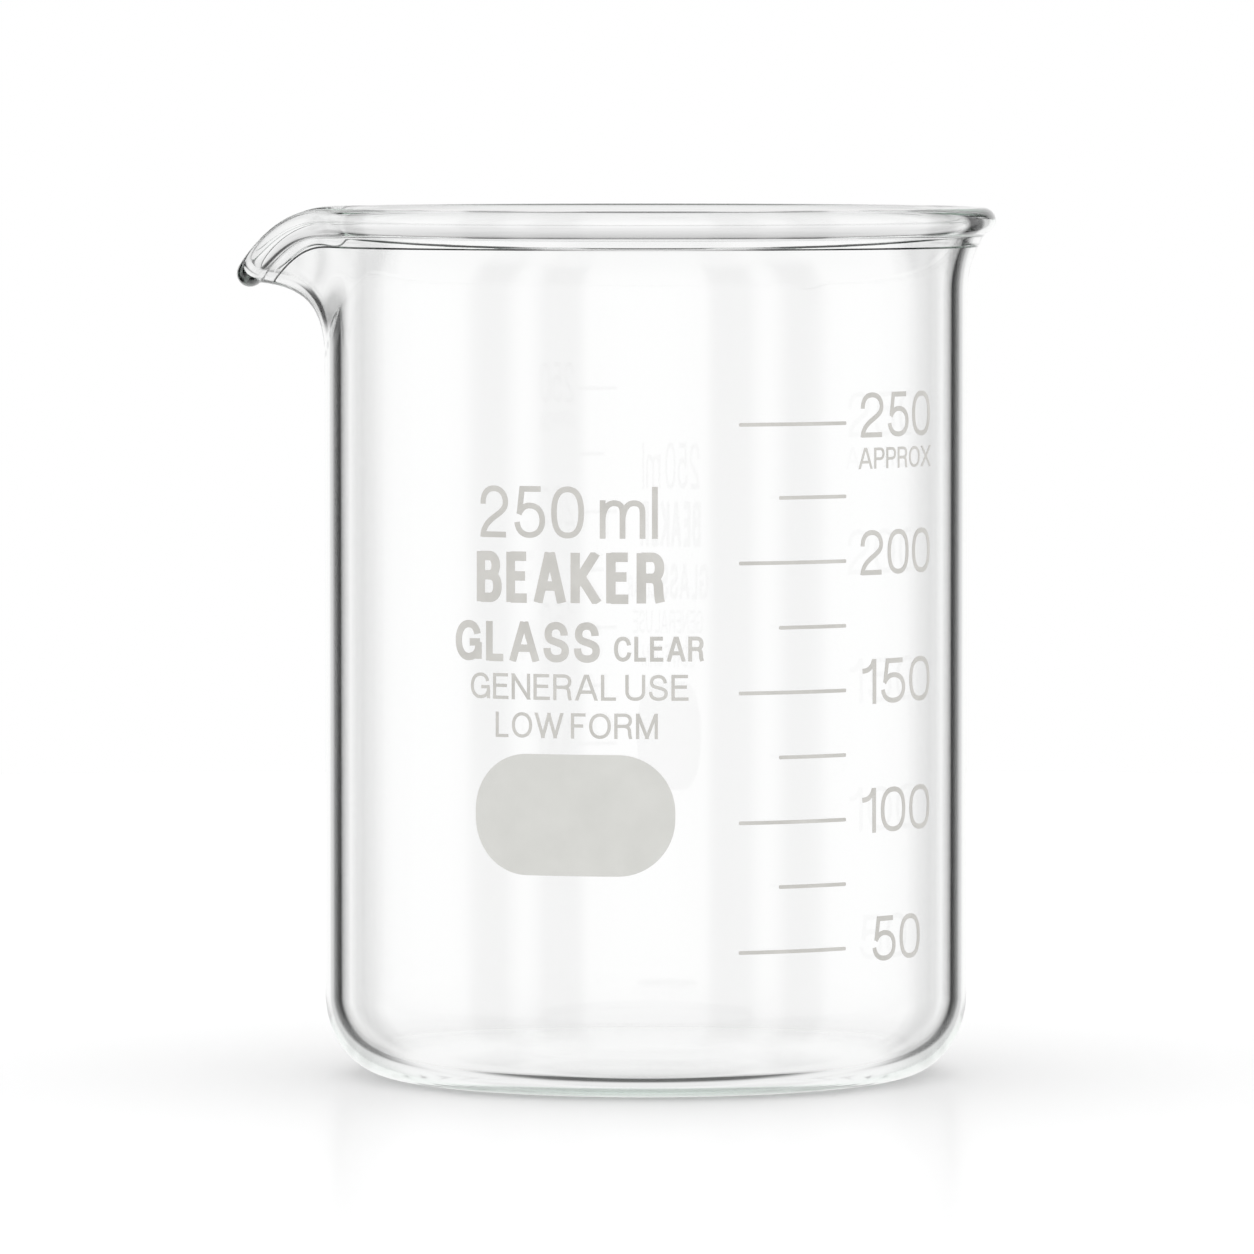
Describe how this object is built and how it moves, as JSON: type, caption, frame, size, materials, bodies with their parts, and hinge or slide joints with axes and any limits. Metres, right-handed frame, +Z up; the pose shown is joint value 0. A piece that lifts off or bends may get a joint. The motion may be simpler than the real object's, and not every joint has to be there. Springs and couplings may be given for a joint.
{
  "type": "glass beaker",
  "caption": "Low-form glass beaker with a flared beaded mouth, a pouring spout, a printed volume scale and a matt marking spot.",
  "frame": {"origin": "centre of the flat resting face, on the vessel's axis", "axes": "+Z up along the vessel's axis, -X towards the pouring spout, -Y towards the printed marks"},
  "size_m": [0.0827, 0.0762, 0.0945],
  "materials": {
    "glass": "clear polished borosilicate glass, faintly green where the light path in it is long",
    "enamel": "matt light grey fired enamel print"
  },
  "bodies": {
    "root": {"approx_1_A": "enamel", "approx_2_P": "enamel", "approx_3_P": "enamel", "approx_4_R": "enamel", "approx_5_O": "enamel", "approx_6_X": "enamel", "capacity_1_2": "enamel", "capacity_2_5": "enamel", "capacity_3_0": "enamel", "capacity_4_m": "enamel", "capacity_5_l": "enamel", "digit_100_hundreds": "enamel", "digit_100_tens": "enamel", "digit_100_units": "enamel", "digit_150_hundreds": "enamel", "digit_150_tens": "enamel", "digit_150_units": "enamel", "digit_200_hundreds": "enamel", "digit_200_tens": "enamel", "digit_200_units": "enamel", "digit_250_hundreds": "enamel", "digit_250_tens": "enamel", "digit_250_units": "enamel", "digit_50_tens": "enamel", "digit_50_units": "enamel", "glass_vessel": "glass", "line_100": "enamel", "line_125": "enamel", "line_150": "enamel", "line_175": "enamel", "line_200": "enamel", "line_225": "enamel", "line_250": "enamel", "line_50": "enamel", "line_75": "enamel", "marking_spot": "enamel"}
  },
  "joints": []
}
